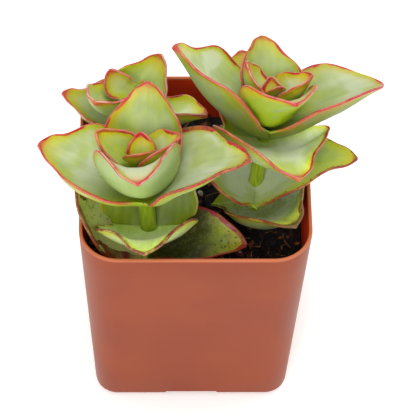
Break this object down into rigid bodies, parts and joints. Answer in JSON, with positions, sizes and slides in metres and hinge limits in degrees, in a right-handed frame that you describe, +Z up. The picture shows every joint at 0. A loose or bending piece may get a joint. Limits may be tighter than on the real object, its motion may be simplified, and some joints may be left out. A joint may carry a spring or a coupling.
{
  "type": "potted crassula",
  "caption": "Potted crassula: upright succulent stems of cupped, red-edged leaf pairs, crossed from pair to pair, in soil in a square clay-coloured plastic nursery pot.",
  "frame": {"origin": "on the ground under the middle of the plant and pot's overall box; the pot's own middle is 3.45 mm towards -X and 2.02 mm towards +Y of it", "axes": "+Z up, square to the surface it stands on; -Y towards the front, where the picture was taken from; +X to the right as seen from the front"},
  "size_m": [0.0754, 0.0548, 0.0953],
  "materials": {
    "pot_plastic": "satin",
    "potting_soil": "rough",
    "stem": "satin",
    "leaf": "satin, waxy bloom"
  },
  "bodies": {
    "root": {"pot": "pot_plastic", "soil": "potting_soil", "stem_front": "stem", "stem_right": "stem", "stem_back": "stem", "leaf_pair_front_1": "leaf", "leaf_pair_front_2": "leaf", "leaf_pair_front_3": "leaf", "leaf_pair_front_4": "leaf", "leaf_pair_front_5": "leaf", "leaf_pair_front_6": "leaf", "leaf_pair_right_1": "leaf", "leaf_pair_right_2": "leaf", "leaf_pair_right_3": "leaf", "leaf_pair_right_4": "leaf", "leaf_pair_right_5": "leaf", "leaf_pair_right_6": "leaf", "leaf_pair_right_7": "leaf", "leaf_pair_back_1": "leaf", "leaf_pair_back_2": "leaf", "leaf_pair_back_3": "leaf", "leaf_pair_back_4": "leaf"}
  },
  "joints": []
}
